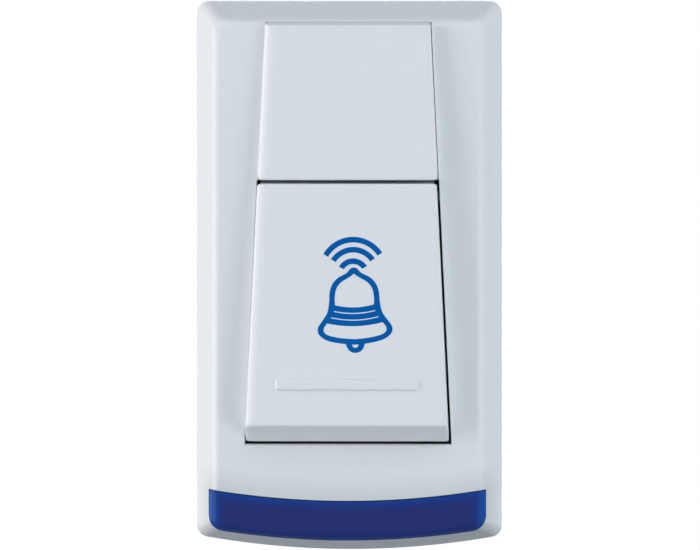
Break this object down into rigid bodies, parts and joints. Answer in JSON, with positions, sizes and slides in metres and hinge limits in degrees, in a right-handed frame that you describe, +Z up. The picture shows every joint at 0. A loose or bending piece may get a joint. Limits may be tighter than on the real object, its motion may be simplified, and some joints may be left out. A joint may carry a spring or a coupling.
{
  "type": "wireless bell push",
  "caption": "Wall-mounted wireless bell push: beveled white case with a hinged wedge key, fixed panel and blue light window on a screwed wall plate.",
  "frame": {"origin": "middle of the wall plate's back face, half way between the two wall screw holes", "axes": "+Z up the wall along the body's height, +Y into the wall, +X to the right seen from the front"},
  "size_m": [0.0468, 0.0192, 0.084],
  "materials": {
    "plate_plastic": "fine moulded grain",
    "white_plastic": "satin moulded ABS",
    "blue_lens": "polished translucent",
    "board_laminate": "solder mask",
    "zinc_steel": "zinc plated",
    "tinned_steel": "tin plated",
    "black_plastic": "moulded",
    "led_epoxy": "clear tinted",
    "cell_sleeve": "printed film",
    "spring_steel": "nickel plated",
    "copper_wire": "enamelled copper",
    "black_epoxy": "moulded epoxy",
    "tan_ceramic": "fired ceramic",
    "solder_tin": "soldered"
  },
  "bodies": {
    "wall_plate": {"wall_plate": "plate_plastic"},
    "front_unit": {"front_cover": "white_plastic", "upper_panel": "white_plastic", "signal_lens": "blue_lens", "circuit_board": "board_laminate", "board_screws": "zinc_steel", "switch_body": "black_plastic", "switch_cover": "tinned_steel", "switch_legs": "tinned_steel", "indicator_led": "led_epoxy", "led_leads": "tinned_steel", "battery_can": "zinc_steel", "battery_sleeve": "cell_sleeve", "battery_spring": "spring_steel", "spring_tab": "spring_steel", "plus_contact": "spring_steel", "antenna_coil": "copper_wire", "resonator_can": "tinned_steel", "resonator_base": "zinc_steel", "encoder_chip": "black_epoxy", "chip_legs": "tinned_steel", "transistor": "black_epoxy", "transistor_legs": "tinned_steel", "resistors": "black_epoxy", "capacitors": "tan_ceramic", "return_spring_left": "spring_steel", "return_spring_right": "spring_steel", "solder_joints": "solder_tin"},
    "bell_key": {"bell_key": "white_plastic"},
    "switch_plunger": {"switch_plunger": "black_plastic"}
  },
  "joints": [
    {"name": "front_release", "type": "slide", "parent": "wall_plate", "child": "front_unit", "axis": [0, -1, 0], "range_m": [0, 0.015]},
    {"name": "key_press", "type": "hinge", "parent": "front_unit", "child": "bell_key", "pos_m": [0, -0.0108, 0.012], "axis": [1, 0, 0], "range_deg": [0, 1.8], "stiffness_Nm_per_rad": 0.2, "springref_deg": -11.46, "deforming": ["return_spring_left", "return_spring_right"]},
    {"name": "plunger_travel", "type": "slide", "parent": "front_unit", "child": "switch_plunger", "axis": [0, 1, 0], "range_m": [0, 0.00055]}
  ],
  "couplings": [
    {"joint": "plunger_travel", "follows": "key_press", "m_per_rad": 0.016}
  ]
}
